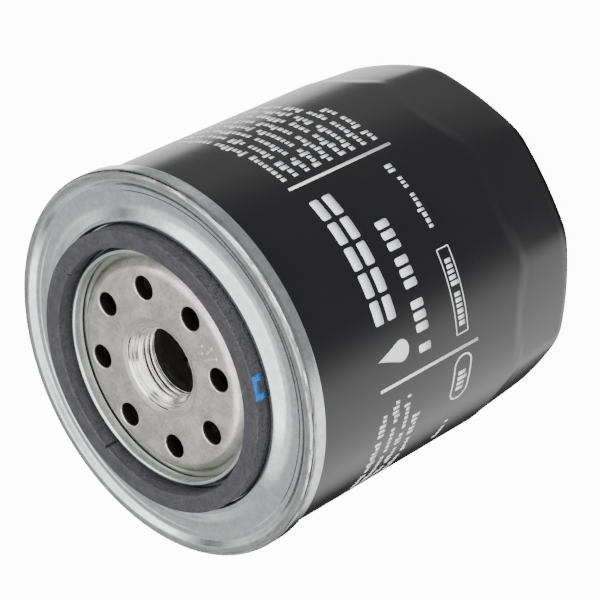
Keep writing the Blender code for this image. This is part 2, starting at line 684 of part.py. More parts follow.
# ---------------------------------------------------------------- bypass valve
def bypass_cage(look):
    """Three-legged cup over the bypass port that holds the spring and guides the stem."""
    sheet = BYPASS_CAGE_SHEET
    guide = STEM_RADIUS + BYPASS_STEM_CLEARANCE
    points = [
        (CAGE_FLANGE_RADIUS, CAGE_BOTTOM + sheet),
        (CAGE_FLANGE_RADIUS, CAGE_BOTTOM),
        (CAGE_RADIUS - sheet, CAGE_BOTTOM),
        (CAGE_RADIUS - sheet, CAGE_TOP - sheet),
        (guide, CAGE_TOP - sheet),
        (guide, CAGE_TOP),
        (CAGE_RADIUS - 0.6 * MM, CAGE_TOP),
        (CAGE_RADIUS, CAGE_TOP - 0.6 * MM),
        (CAGE_RADIUS, CAGE_BOTTOM + sheet),
    ]
    cage = turned("bypass_cage", points, look, SEGMENTS_SMALL)
    window_bottom = CAGE_BOTTOM + 2.5 * sheet
    window_top = CAGE_TOP - 3.0 * sheet
    made = bmesh.new()
    for i in range(3):
        turn = Matrix.Rotation(math.tau * i / 3, 4, "Z")
        place = Matrix.Translation((CAGE_RADIUS, 0.0, (window_bottom + window_top) / 2))
        size = Matrix.Diagonal((6.0 * MM, BYPASS_WINDOW_WIDTH, window_top - window_bottom, 1.0))
        bmesh.ops.create_cube(made, size=1.0, matrix=turn @ place @ size)
    mesh = bpy.data.meshes.new("cage_window_cutter")
    made.to_mesh(mesh)
    made.free()
    cut(cage, cutter("cage_window_cutter", mesh))
    return cage


def bypass_poppet(look):
    """Valve disc with a guide stem; its outline starts and ends on the axis."""
    radius = DISC_RADIUS
    stem_top = CAGE_TOP + BYPASS_STEM_STANDOUT
    rings = []
    steps = SEGMENTS_SMALL // 2
    outline = (
        (radius - 0.3 * MM, DISC_BOTTOM),
        (radius, DISC_BOTTOM + 0.3 * MM),
        (radius, DISC_TOP),
        (STEM_RADIUS + 0.8 * MM, DISC_TOP),
        (STEM_RADIUS, DISC_TOP + 0.8 * MM),
        (STEM_RADIUS, stem_top - 0.4 * MM),
        (STEM_RADIUS - 0.4 * MM, stem_top),
    )
    for distance, height in outline:
        ring = []
        for i in range(steps):
            angle = math.tau * i / steps
            ring.append((distance * math.cos(angle), distance * math.sin(angle), height))
        rings.append(ring)
    mesh = loft_mesh("bypass_poppet", rings)
    return finish(bpy.data.objects.new("bypass_poppet", mesh), look)


def bypass_seal(look):
    """Rubber washer bonded under the valve disc."""
    outer = DISC_RADIUS
    inner = PORT_RADIUS - 1.0 * MM
    top = SEAL_BOTTOM + BYPASS_SEAL_THICKNESS
    points = [(outer, top), (outer, SEAL_BOTTOM), (inner, SEAL_BOTTOM), (inner, top)]
    return turned("bypass_seal", points, look, SEGMENTS_SMALL // 2)


def bypass_spring(look):
    half = BYPASS_SPRING_WIRE / 2
    bottom = DISC_TOP + GAP + half
    top = CAGE_TOP - BYPASS_CAGE_SHEET - GAP - half
    radius = BYPASS_SPRING_DIAMETER / 2
    points = coil_points(lambda share: radius, bottom, top, BYPASS_SPRING_TURNS, 10)
    return wire("bypass_spring", points, BYPASS_SPRING_WIRE, look)


# ---------------------------------------------------------------- support spring
def support_spring(look):
    """Conical coil between the can's closed end and the spring cup."""
    half = SUPPORT_WIRE / 2
    bottom = SUPPORT_FLOOR + half
    top = SPRING_CUP_BOTTOM - GAP - half
    base = SUPPORT_BASE_DIAMETER / 2
    narrowing = (SUPPORT_BASE_DIAMETER - SUPPORT_TOP_DIAMETER) / 2
    points = coil_points(lambda share: base - narrowing * share, bottom, top, SUPPORT_TURNS, 14)
    return wire("support_spring", points, SUPPORT_WIRE, look)


def spring_cup(look):
    """Dished washer that centres the support spring under the element."""
    sheet = SPRING_CUP_SHEET
    outer = SPRING_CUP_FLANGE_DIAMETER / 2
    collar_radius = SUPPORT_TOP_DIAMETER / 2 - SUPPORT_WIRE
    collar_bottom = SPRING_CUP_BOTTOM - SPRING_CUP_COLLAR
    points = [
        (outer, SPRING_CUP_BOTTOM + sheet),
        (outer, SPRING_CUP_BOTTOM),
        (collar_radius, SPRING_CUP_BOTTOM),
        (collar_radius, collar_bottom),
        (collar_radius - sheet, collar_bottom),
        (collar_radius - sheet, SPRING_CUP_BOTTOM + sheet),
    ]
    return turned("spring_cup", points, look, SEGMENTS_SMALL)


# ---------------------------------------------------------------- assembly
def build():
    black_paint = material("black_paint", (0.015, 0.015, 0.017), 0.0, 0.22)
    zinc = material("zinc_plate", (0.68, 0.70, 0.70), 1.0, 0.30)
    plate_steel = material("plate_steel", (0.66, 0.64, 0.62), 0.9, 0.42)
    black_rubber = material("black_rubber", (0.09, 0.09, 0.10), 0.0, 0.75)
    valve_rubber = material("valve_rubber", (0.025, 0.025, 0.027), 0.0, 0.55)
    sealant = material("sealant", (0.35, 0.33, 0.28), 0.0, 0.6)
    bare_steel = material("bare_steel", (0.55, 0.55, 0.56), 1.0, 0.35)
    spring_steel = material("spring_steel", (0.32, 0.32, 0.34), 1.0, 0.30)
    paper = material("filter_paper", (0.75, 0.60, 0.32), 0.0, 0.9)
    adhesive = material("adhesive", (0.62, 0.22, 0.12), 0.0, 0.5)

    can(black_paint)
    seaming_lid(zinc)
    seam_sealant(sealant)
    gasket(black_rubber)
    base_plate(plate_steel)
    anti_drain_valve(valve_rubber)

    element_seal(valve_rubber)
    top_end_cap(bare_steel)
    bottom_end_cap(bare_steel)
    adhesive_ring("top_adhesive", MEDIA_TOP + GAP, adhesive)
    adhesive_ring("bottom_adhesive", LOWER_CAP_INSIDE + GAP, adhesive)
    pleated_paper(paper)
    paper_seam_clip(bare_steel)
    centre_tube(bare_steel)

    bypass_cage(bare_steel)
    bypass_poppet(bare_steel)
    bypass_seal(valve_rubber)
    bypass_spring(spring_steel)

    support_spring(spring_steel)
    spring_cup(bare_steel)


build()
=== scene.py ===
"""Looks of a spin-on engine oil filter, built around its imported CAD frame.

Metres, in the frame's own axes: the closed end stands on z = 0 and the threaded end faces +Z.
Profiles are written in millimetres, with heights counted from the gasket's sealing face.
"""
import json
import math
import random

import bmesh
import bpy
import numpy as np
from mathutils import Matrix, Vector


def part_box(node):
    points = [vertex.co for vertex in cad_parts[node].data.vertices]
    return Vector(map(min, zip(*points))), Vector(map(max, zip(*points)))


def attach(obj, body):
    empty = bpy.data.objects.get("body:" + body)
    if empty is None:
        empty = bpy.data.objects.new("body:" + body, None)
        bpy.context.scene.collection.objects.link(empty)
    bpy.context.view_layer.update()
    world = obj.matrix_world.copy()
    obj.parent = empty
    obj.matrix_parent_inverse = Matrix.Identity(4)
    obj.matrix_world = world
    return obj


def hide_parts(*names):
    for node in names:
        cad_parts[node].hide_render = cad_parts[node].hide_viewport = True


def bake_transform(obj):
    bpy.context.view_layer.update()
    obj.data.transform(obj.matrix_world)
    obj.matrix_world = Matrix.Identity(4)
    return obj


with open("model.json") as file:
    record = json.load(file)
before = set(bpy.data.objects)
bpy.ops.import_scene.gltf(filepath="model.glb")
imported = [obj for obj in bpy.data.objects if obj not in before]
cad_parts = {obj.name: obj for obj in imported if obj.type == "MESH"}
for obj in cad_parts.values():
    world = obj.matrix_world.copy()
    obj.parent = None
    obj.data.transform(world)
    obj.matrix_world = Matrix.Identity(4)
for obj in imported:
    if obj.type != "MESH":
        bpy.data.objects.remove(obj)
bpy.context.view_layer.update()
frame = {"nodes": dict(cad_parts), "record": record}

MM = 0.001
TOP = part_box("sealing_gasket")[1].z / MM
GASKET_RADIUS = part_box("sealing_gasket")[1].x / MM
RIM_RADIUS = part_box("seaming_lid")[1].x / MM
PLATE_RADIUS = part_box("base_plate")[1].x / MM
CAN_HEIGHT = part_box("can")[1].z / MM
RIM_STEP = 1.25                  # how far the rolled rim stands out from the can
CAN_RADIUS = RIM_RADIUS - RIM_STEP
CAN_WALL = 0.6
COLLAR_HEIGHT = 8.0              # plain top band of the can, under the rolled rim

# wrench flats pressed into the closed end, heights above the resting face
FLAT_COUNT = 10
FLAT_PHASE = math.radians(-4.3)
FLAT_TOP = 27.5
FLAT_CORNER_TOP = 23.5
FLAT_STEP = 4.6
FLAT_STEP_DEPTH = 0.55
FLAT_FOOT_DEPTH = 1.9
CORNER_FOOT_DEPTH = 0.75
END_ROLL = 6.5
FLAT_CORNER_BLUR = 3.5           # degrees to either side over which a flat's edge is softened
COLUMNS_A_FLAT = 36

# gasket, with two thin slits in its inner wall
GASKET_INNER_RADIUS = GASKET_RADIUS - 4.5
GASKET_DEPTH = 5.0
GASKET_UNEVENNESS = 0.03
SLIT_AZIMUTHS = np.radians((90.6, 181.5))
SLIT_WIDTH = 0.26
SLIT_DEPTH = 0.8

# base plate
PLATE_BOTTOM = -9.2
HOLE_COUNT = 8
HOLE_RADIUS = 3.0
HOLE_CIRCLE = 20.15
PLATEAU = -3.55
PLATEAU_UNDERSIDE = -6.55
BOSS_END = -10.9
BORE_MOUTH = -4.9                # above this the bore's lead-in is free of thread
THREAD_MAJOR = 9.525
THREAD_PITCH = 1.5875
THREAD_MINOR = THREAD_MAJOR - 0.5413 * THREAD_PITCH
THREAD_FLAT = 0.12               # flat share of the thread at its crest and at its root
ROWS_A_TURN = 20
THREAD_STEP = 0.07               # longest stretch of the profile in the threaded bore

# ink on the paint
PRINT_LIFT = 0.03
PRINT_THICKNESS = 0.05
BLOCK_CORNER = 0.5

# camera, from the axis: where it stands and how it is rolled
CAMERA_AZIMUTH = -19.45
CAMERA_ELEVATION = 40.1
CAMERA_ROLL = -117.02
CAMERA_DISTANCE = 610.6
CAMERA_AIM = Vector((-0.26, -0.75, TOP - 51.57))
CAMERA_LENS = 148.35

# stage
FLOOR_HALF = 3.0
FLOOR_DROP = 0.0003
FLOOR_GLOW = 12.0
STUDIO_DARK = 0.045              # light from where no panel is

# meshes
RING_COLUMNS = 360
PLATE_COLUMNS = 240
CREASE_ANGLE = math.radians(32.0)
PLATE_CREASE_ANGLE = math.radians(14.0)


# ---------------------------------------------------------------- materials
class Look:
    """A Principled material and short ways to add the nodes that feed it."""

    def __init__(self, name, colour, metallic, roughness):
        self.material = bpy.data.materials.new(name)
        self.material.use_nodes = True
        self.tree = self.material.node_tree
        self.shader = self.tree.nodes["Principled BSDF"]
        self.shader.inputs["Base Color"].default_value = (*colour, 1.0)
        self.shader.inputs["Metallic"].default_value = metallic
        self.shader.inputs["Roughness"].default_value = roughness
        self.place = self.node("ShaderNodeTexCoord").outputs["Object"]

    def node(self, kind, **settings):
        made = self.tree.nodes.new(kind)
        for key, value in settings.items():
            setattr(made, key, value)
        return made

    def feed(self, target, value):
        if isinstance(value, bpy.types.NodeSocket):
            self.tree.links.new(value, target)
        else:
            target.default_value = value

    def math(self, operation, *values, clamp=False):
        made = self.node("ShaderNodeMath", operation=operation, use_clamp=clamp)
        for socket, value in zip(made.inputs, values):
            self.feed(socket, value)
        return made.outputs[0]

    def noise(self, scale, detail=3.0, roughness=0.5, place=None):
        """Noise whose scale is in features per millimetre."""
        made = self.node("ShaderNodeTexNoise")
        self.feed(made.inputs["Vector"], place or self.place)
        made.inputs["Scale"].default_value = scale / MM
        made.inputs["Detail"].default_value = detail
        made.inputs["Roughness"].default_value = roughness
        return made.outputs["Fac"]

    def ramp(self, value, low, high, out_low=0.0, out_high=1.0):
        """Smooth step from out_low at low to out_high at high."""
        made = self.node("ShaderNodeMapRange", interpolation_type="SMOOTHSTEP")
        self.feed(made.inputs["Value"], value)
        made.inputs["From Min"].default_value = low
        made.inputs["From Max"].default_value = high
        made.inputs["To Min"].default_value = out_low
        made.inputs["To Max"].default_value = out_high
        return made.outputs["Result"]

    def mix(self, share, first, second):
        """Blend from first to second, each a colour or a socket."""
        made = self.node("ShaderNodeMix", data_type="RGBA")
        self.feed(made.inputs["Factor"], share)
        for name, value in (("A", first), ("B", second)):
            socket = [s for s in made.inputs if s.name == name and s.type == "RGBA"][0]
            if isinstance(value, tuple):
                socket.default_value = (*value, 1.0)
            else:
                self.feed(socket, value)
        return [s for s in made.outputs if s.type == "RGBA"][0]

    def round_place(self):
        """Radius in millimetres, height in millimetres and azimuth in radians of a point."""
        parts = self.node("ShaderNodeSeparateXYZ")
        self.feed(parts.inputs[0], self.place)
        x, y, z = parts.outputs
        square = self.math("ADD", self.math("MULTIPLY", x, x), self.math("MULTIPLY", y, y))
        radius = self.math("MULTIPLY", self.math("SQRT", square), 1.0 / MM)
        height = self.math("MULTIPLY_ADD", z, 1.0 / MM, -TOP)
        return radius, height, self.math("ARCTAN2", y, x)

    def along(self, radius, height, azimuth, stretch):
        """A place stretched round the axis: rings of turning or rolling marks."""
        made = self.node("ShaderNodeCombineXYZ")
        self.feed(made.inputs[0], self.math("MULTIPLY", radius, MM))
        self.feed(made.inputs[1], self.math("MULTIPLY", azimuth, stretch * MM))
        self.feed(made.inputs[2], self.math("MULTIPLY", height, MM))
        return made.outputs[0]

    def colour(self, value):
        self.feed(self.shader.inputs["Base Color"], value)

    def rough(self, value):
        self.feed(self.shader.inputs["Roughness"], value)

    def bump(self, height, depth):
        """Bump whose full height is depth millimetres."""
        made = self.node("ShaderNodeBump")
        made.inputs["Distance"].default_value = depth * MM
        self.feed(made.inputs["Height"], height)
        self.feed(self.shader.inputs["Normal"], made.outputs[0])


def black_enamel():
    look = Look("black_enamel", (0.011, 0.011, 0.013), 0.0, 0.2)
    cloud = look.noise(0.05, 2.0)
    dust = look.ramp(look.noise(1.6, 4.0, 0.7), 0.70, 0.78)
    colour = look.mix(cloud, (0.0045, 0.0045, 0.006), (0.0075, 0.0075, 0.0085))
    look.colour(look.mix(look.math("MULTIPLY", dust, 0.35), colour, (0.06, 0.06, 0.06)))
    look.rough(look.math("MULTIPLY_ADD", look.noise(0.3, 3.0), 0.10, 0.14))
    look.bump(look.noise(0.45, 2.0, 0.4), 0.006)
    return look.material


def zinc():
    look = Look("bright_zinc", (0.82, 0.85, 0.85), 1.0, 0.25)
    radius, height, azimuth = look.round_place()
    ringed = look.along(radius, height, azimuth, 3.0)
    brushed = look.noise(2.2, 3.0, 0.6, ringed)
    spangle = look.noise(0.55, 5.0, 0.7)
    colour = look.mix(look.ramp(spangle, 0.3, 0.7), (0.56, 0.61, 0.61), (0.74, 0.78, 0.775))
    on_rim = look.ramp(radius, RIM_RADIUS - 2.4, RIM_RADIUS - 1.7)
    crest = look.math("MULTIPLY", on_rim, look.ramp(height, -6.0, -5.0))
    patches = look.noise(0.09, 3.0, 0.7, look.along(radius, height, azimuth, 10.0))
    streaks = look.noise(1.5, 4.0, 0.75, look.along(radius, height, azimuth, 6.0))
    worn = look.math("MULTIPLY", look.ramp(patches, 0.38, 0.52), look.ramp(streaks, 0.47, 0.56))
    worn = look.math("MULTIPLY", crest, worn)
    colour = look.mix(look.math("MULTIPLY", worn, 0.85), colour, (0.045, 0.040, 0.037))
    # painted shade: the top of the rolled rim is made darker all round
    colour = look.mix(look.math("MULTIPLY", crest, 0.5), colour, (0.36, 0.345, 0.335))
    specks = look.ramp(look.noise(1.6, 3.0, 0.8), 0.69, 0.77)
    look.colour(look.mix(look.math("MULTIPLY", specks, 0.5), colour, (0.30, 0.31, 0.31)))
    rough = look.math("MULTIPLY_ADD", brushed, 0.12, 0.07)
    look.rough(look.math("MULTIPLY_ADD", worn, 0.40, rough))
    look.bump(look.math("ADD", brushed, look.math("MULTIPLY", spangle, 0.8)), 0.014)
    return look.material


def satin_plate():
    look = Look("satin_plate", (0.80, 0.77, 0.73), 1.0, 0.42)
    radius, height, _ = look.round_place()
    stain = look.noise(0.2, 5.0, 0.72)
    grain = look.noise(1.2, 5.0, 0.75)
    colour = look.mix(look.ramp(stain, 0.35, 0.65), (0.48, 0.465, 0.435), (0.76, 0.74, 0.70))
    bright = look.math("MULTIPLY", look.ramp(grain, 0.42, 0.62), 0.3)
    colour = look.mix(bright, colour, (0.86, 0.84, 0.80))
    specks = look.ramp(look.noise(0.9, 4.0, 0.8), 0.57, 0.66)
    colour = look.mix(look.math("MULTIPLY", specks, 0.55), colour, (0.36, 0.33, 0.29))
    machined = look.ramp(radius, 13.0, 12.0)
    colour = look.mix(machined, colour, (0.68, 0.67, 0.65))
    # painted shade: the slope from the raised face down to the plate's edge is darkened, for the
    # shadowed channel beside the lid's lip
    shade = look.ramp(radius, 25.3, 27.3)
    colour = look.mix(look.math("MULTIPLY", shade, 0.75), colour, (0.27, 0.275, 0.235))
    # painted shade: the inlet holes' walls, below the raised face, are darkened
    inlet = look.math("MULTIPLY", look.ramp(radius, 16.0, 16.5), look.ramp(radius, 24.6, 24.1))
    inlet = look.math("MULTIPLY", inlet, look.ramp(height, PLATEAU - 0.35, PLATEAU - 0.8))
    look.colour(look.mix(inlet, colour, (0.10, 0.095, 0.085)))
    satin = look.math("MULTIPLY_ADD", grain, 0.16, 0.30)
    look.rough(look.mix(machined, satin, (0.15, 0.15, 0.15)))
    look.bump(look.math("ADD", grain, look.math("MULTIPLY", stain, 2.0)), 0.022)
    return look.material


def gasket_rubber():
    look = Look("gasket_rubber", (0.10, 0.10, 0.105), 0.0, 0.7)
    radius, height, azimuth = look.round_place()
    smear = look.noise(0.5, 4.0, 0.6, look.along(radius, height, azimuth, 14.0))
    mottle = look.noise(0.7, 4.0, 0.65)
    colour = look.mix(look.ramp(smear, 0.3, 0.7), (0.026, 0.0245, 0.029), (0.044, 0.041, 0.047))
    pale = look.math("MULTIPLY", look.ramp(mottle, 0.5, 0.75), 0.4)
    colour = look.mix(pale, colour, (0.060, 0.057, 0.064))
    outside = look.ramp(radius, GASKET_RADIUS - 0.6, GASKET_RADIUS - 0.1)
    outside = look.math("MULTIPLY", outside, 0.8)
    pits = look.ramp(look.noise(1.3, 3.0, 0.7), 0.52, 0.60)
    everywhere = look.math("MAXIMUM", outside, 0.35)
    look.colour(look.mix(look.math("MULTIPLY", pits, everywhere), colour, (0.008, 0.0075, 0.009)))
    look.rough(look.math("MULTIPLY_ADD", mottle, 0.25, 0.42))
    look.bump(look.math("SUBTRACT", mottle, look.math("MULTIPLY", pits, 0.8)), 0.06)
    return look.material


def smooth_rubber():
    look = Look("valve_rubber", (0.02, 0.02, 0.022), 0.0, 0.45)
    mottle = look.noise(0.5, 3.0)
    look.colour(look.mix(mottle, (0.014, 0.014, 0.016), (0.034, 0.034, 0.036)))
    look.rough(look.math("MULTIPLY_ADD", mottle, 0.3, 0.30))
    look.bump(mottle, 0.03)
    return look.material


def tinned_steel():
    look = Look("tinned_steel", (0.6, 0.6, 0.6), 1.0, 0.3)
    radius, height, azimuth = look.round_place()
    brushed = look.noise(1.6, 3.0, 0.6, look.along(radius, height, azimuth, 4.0))
    look.colour(look.mix(look.noise(0.12, 3.0), (0.46, 0.46, 0.46), (0.66, 0.66, 0.65)))
    look.rough(look.math("MULTIPLY_ADD", brushed, 0.25, 0.22))
    look.bump(brushed, 0.01)
    return look.material


def spring_steel():
    look = Look("spring_steel", (0.3, 0.3, 0.32), 1.0, 0.3)
    grain = look.noise(0.9, 3.0)
    look.colour(look.mix(grain, (0.20, 0.20, 0.22), (0.38, 0.38, 0.40)))
    look.rough(look.math("MULTIPLY_ADD", grain, 0.3, 0.2))
    return look.material


def filter_paper():
    look = Look("filter_paper", (0.75, 0.6, 0.32), 0.0, 0.9)
    fibre = look.noise(1.4, 5.0, 0.8)
    look.colour(look.mix(fibre, (0.62, 0.45, 0.20), (0.84, 0.69, 0.41)))
    look.rough(look.math("MULTIPLY_ADD", fibre, 0.15, 0.8))
    look.bump(fibre, 0.04)
    return look.material


def adhesive():
    look = Look("adhesive", (0.6, 0.2, 0.1), 0.0, 0.4)
    cloud = look.noise(0.3, 3.0)
    look.colour(look.mix(cloud, (0.50, 0.14, 0.07), (0.68, 0.25, 0.13)))
    look.rough(look.math("MULTIPLY_ADD", cloud, 0.2, 0.3))
    look.bump(cloud, 0.1)
    return look.material


def sealant():
    look = Look("sealant", (0.35, 0.33, 0.28), 0.0, 0.55)
    cloud = look.noise(0.4, 3.0)
    look.colour(look.mix(cloud, (0.29, 0.27, 0.23), (0.40, 0.38, 0.32)))
    look.rough(look.math("MULTIPLY_ADD", cloud, 0.2, 0.5))
    look.bump(cloud, 0.05)
    return look.material


def struck_metal():
    look = Look("struck_metal", (0.95, 0.94, 0.91), 1.0, 0.35)
    grain = look.noise(1.4, 3.0)
    look.colour(look.mix(grain, (0.80, 0.79, 0.76), (0.98, 0.97, 0.95)))
    look.rough(look.math("MULTIPLY_ADD", grain, 0.2, 0.25))
    return look.material


def white_ink():
    look = Look("white_ink", (0.80, 0.81, 0.84), 0.0, 0.4)
    wear = look.noise(1.8, 4.0, 0.7)
    look.colour(look.mix(look.ramp(wear, 0.25, 0.5), (0.72, 0.73, 0.77), (0.93, 0.94, 0.97)))
    look.rough(look.math("MULTIPLY_ADD", wear, 0.2, 0.3))
    return look.material


def blue_ink():
    look = Look("blue_ink", (0.02, 0.16, 0.45), 0.0, 0.5)
    wear = look.noise(0.9, 4.0, 0.7)
    look.colour(look.mix(look.ramp(wear, 0.3, 0.6), (0.008, 0.085, 0.30), (0.012, 0.14, 0.44)))
    look.rough(look.math("MULTIPLY_ADD", wear, 0.3, 0.4))
    look.shader.inputs["Specular IOR Level"].default_value = 0.25
    return look.material


# ---------------------------------------------------------------- ways of making a piece
def finish(name, vertices, faces, look):
    """Mesh object whose points are given in millimetres, with heights from the gasket's face."""
    points = np.array(vertices, float) * MM
    points[:, 2] += TOP * MM
    mesh = bpy.data.meshes.new(name)
    mesh.from_pydata(points.tolist(), [], faces)
    turned_out = bmesh.new()
    turned_out.from_mesh(mesh)
    bmesh.ops.recalc_face_normals(turned_out, faces=turned_out.faces)
    turned_out.to_mesh(mesh)
    turned_out.free()
    mesh.shade_smooth()
    mesh.set_sharp_from_angle(angle=CREASE_ANGLE)
    piece = bpy.data.objects.new(name, mesh)
    bpy.context.scene.collection.objects.link(piece)
    mesh.materials.append(look)
    return piece


def grid_faces(rows, columns):
    """Quads of a grid that closes on itself both ways."""
    faces = []
    for i in range(rows):
        below = (i + 1) % rows
        for k in range(columns):
            beside = (k + 1) % columns
            faces.append((
                i * columns + k,
                i * columns + beside,
                below * columns + beside,
                below * columns + k,
            ))
    return faces


def rounded(corners, step):
    """Closed outline through corners (radius, height, fillet), with arcs for the fillets.

    No stretch of an arc turns by more than step degrees.
    """
    outline = []
    for i, (r, z, fillet) in enumerate(corners):
        here = Vector((r, z))
        before = Vector(corners[i - 1][:2]) - here
        after = Vector(corners[(i + 1) % len(corners)][:2]) - here
        half = before.angle(after) / 2
        turn = math.pi - 2 * half
        if fillet == 0 or turn < 0.02:
            outline.append(here)
            continue
        reach = min(fillet / math.tan(half), 0.49 * before.length, 0.49 * after.length)
        radius = reach * math.tan(half)
        inward = (before.normalized() + after.normalized()).normalized()
        centre = here + inward * radius / math.sin(half)
        start = here + before.normalized() * reach - centre
        end = here + after.normalized() * reach - centre
        steps = max(2, math.ceil(math.degrees(turn) / step))
        for k in range(steps + 1):
            share = k / steps
            blend = math.sin((1 - share) * turn) * start + math.sin(share * turn) * end
            outline.append(centre + blend / math.sin(turn))
    return outline


def divided(outline, longest):
    """The outline with points added so that no stretch is longer than longest."""
    points = []
    for i, here in enumerate(outline):
        following = outline[(i + 1) % len(outline)]
        pieces = max(1, math.ceil((following - here).length / longest))
        points += [here.lerp(following, k / pieces) for k in range(pieces)]
    return points


def even_angles(count):
    return np.arange(count) * math.tau / count


def turned(name, outline, angles, look, shape=None):
    """Solid turned about the axis; shape may change the radii and heights of its points."""
    azimuth = np.array(angles)[None, :]
    radius = np.array([p[0] for p in outline])[:, None] + 0.0 * azimuth
    height = np.array([p[1] for p in outline])[:, None] + 0.0 * azimuth
    if shape:
        radius, height = shape(radius, height, azimuth + 0.0 * radius)
    points = np.stack((radius * np.cos(azimuth), radius * np.sin(azimuth), height), -1)
    faces = grid_faces(len(outline), azimuth.shape[1])
    return finish(name, points.reshape(-1, 3), faces, look)


def keep_modified(piece):
    """Replace the piece's mesh by what its modifiers make of it."""
    bpy.context.view_layer.update()
    seen = piece.evaluated_get(bpy.context.evaluated_depsgraph_get())
    mesh = bpy.data.meshes.new_from_object(seen)
    piece.modifiers.clear()
    piece.data = mesh


# ---------------------------------------------------------------- can
def flat_share(angle):
    """0 at a corner between two flats, 1 at a flat's middle, with the corners softly rounded."""
    share = math.tau / FLAT_COUNT
    corner = math.cos(share / 2)
    total = 0.0 * angle
    blur = np.radians(np.arange(-FLAT_CORNER_BLUR, FLAT_CORNER_BLUR + 0.1, 0.5))
    for shift in blur:
        offset = (angle + shift - FLAT_PHASE) % share - share / 2
        total = total + (1.0 - corner / np.cos(offset)) / (1.0 - corner)
    return total / len(blur)


def smooth(value):
    value = np.clip(value, 0.0, 1.0)
    return value * value * (3.0 - 2.0 * value)


def can_loop(height, inset, angles, wall):
    """One loop of the can above its resting face, inset and wall millimetres inside its side."""
    share = flat_share(angles)
    step_top = FLAT_CORNER_TOP + (FLAT_TOP - FLAT_CORNER_TOP) * share
    step = FLAT_STEP_DEPTH * share * smooth((step_top - height) / FLAT_STEP)
    down = np.clip((FLAT_TOP - FLAT_STEP - height) / (FLAT_TOP - FLAT_STEP - END_ROLL), 0.0, 1.0)
    flat_depth = (FLAT_FOOT_DEPTH - FLAT_STEP_DEPTH) * down
    depth = step + CORNER_FOOT_DEPTH * down + (flat_depth - CORNER_FOOT_DEPTH * down) * share
    radius = CAN_RADIUS - wall - inset - depth
    heights = np.full_like(radius, height - TOP)
    return np.stack((radius * np.cos(angles), radius * np.sin(angles), heights), -1)


def can_loops(wall, roll_steps, flat_steps, angles):
    """Loops up the rolled edge of the closed end and past the flats."""
    roll = END_ROLL - wall
    loops = []
    for k in range(roll_steps + 1):
        turn = math.pi / 2 * (1 - k / roll_steps)
        inset = roll * (1.0 - math.cos(turn))
        loops.append(can_loop(END_ROLL - roll * math.sin(turn), inset, angles, wall))
    for k in range(1, flat_steps + 1):
        height = END_ROLL + (FLAT_TOP + 1.0 - END_ROLL) * k / flat_steps
        loops.append(can_loop(height, 0.0, angles, wall))
    return loops


def capped(loops):
    """Points and faces of a closed solid through open-ended loops."""
    count = len(loops[0])
    faces = [f for f in grid_faces(len(loops), count) if max(f) - min(f) < 2 * count]
    faces.append(tuple(range(count)))
    faces.append(tuple(range((len(loops) - 1) * count, len(loops) * count)))
    return np.concatenate(loops), faces


def can_shell(look):
    """Drawn steel cup with soft wrench flats, closed under the rolled seam."""
    angles = FLAT_PHASE + even_angles(FLAT_COUNT * COLUMNS_A_FLAT)
    outside = can_loops(0.0, 10, 44, angles)
    inside = can_loops(CAN_WALL, 5, 12, angles)
    collar = [
        can_loop(CAN_HEIGHT - COLLAR_HEIGHT, 0.0, angles, 0.0),
        can_loop(CAN_HEIGHT, 0.0, angles, 0.0),
        can_loop(CAN_HEIGHT, 0.0, angles, CAN_WALL),
    ]
    points, faces = capped(outside + collar + inside[::-1])
    piece = finish("can_shell", points, faces, look)
    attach(piece, "casing")
    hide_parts("can")


# ---------------------------------------------------------------- seaming lid
def lid_ring(look):
    """Plated ring with the rolled rim, a dished face and the groove that holds the gasket."""
    rim = RIM_RADIUS
    corners = [
        # the rim's outer wall, and its edge curled in under the seam
        (rim, -3.95, 1.7),
        (rim, -8.70, 0.45),
        (rim - 0.98, -8.70, 0.2),
        (rim - 0.98, -8.20, 0.1),
        (rim - 0.60, -7.80, 0.1),
        (rim - 0.60, -4.75, 0.6),
        # the underside, inwards
        (45.70, -5.75, 0.6),
        (43.60, -6.08, 0.5),
        (40.60, -6.05, 1.5),
        (37.60, -4.70, 0.6),
        (36.70, -4.40, 0.3),
        (36.60, -5.90, 0.3),
        # the lip inside the gasket, then the groove's floor and outer wall
        (28.70, -5.90, 0.3),
        (28.70, -3.00, 0.6),
        (30.00, -3.00, 0.6),
        (30.00, -5.30, 0.4),
        (36.00, -5.30, 0.3),
        (36.00, -3.50, 0.45),
        # the dished upper face, out to the foot of the rim
        (37.10, -3.50, 1.0),
        (40.40, -5.32, 9.0),
        (43.20, -5.44, 0.5),
        (43.60, -5.26, 0.35),
        (44.75, -5.16, 0.9),
        (46.15, -3.95, 0.9),
    ]
    outline = divided(rounded(corners, 6.0), 0.7)
    piece = turned("lid_ring", outline, even_angles(RING_COLUMNS), look)
    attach(piece, "casing")
    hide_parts("seaming_lid")


# ---------------------------------------------------------------- gasket
def gasket_shape(radius, height, azimuth):
    """Soft unevenness of moulded rubber and two thin slits in its inner wall."""
    wave = np.sin(3 * azimuth + 0.7) + 0.6 * np.sin(7 * azimuth + 2.1) + 0.4 * np.sin(17 * azimuth)
    middle = (GASKET_RADIUS + GASKET_INNER_RADIUS) / 2
    above_foot = height > 0.2 - GASKET_DEPTH
    radius = radius + GASKET_UNEVENNESS * wave * above_foot
    inner = radius < middle - 1.2
    for slit in SLIT_AZIMUTHS:
        across = (azimuth - slit) * GASKET_INNER_RADIUS / SLIT_WIDTH
        radius = radius + SLIT_DEPTH * inner * np.exp(-across ** 2)
    return radius, height


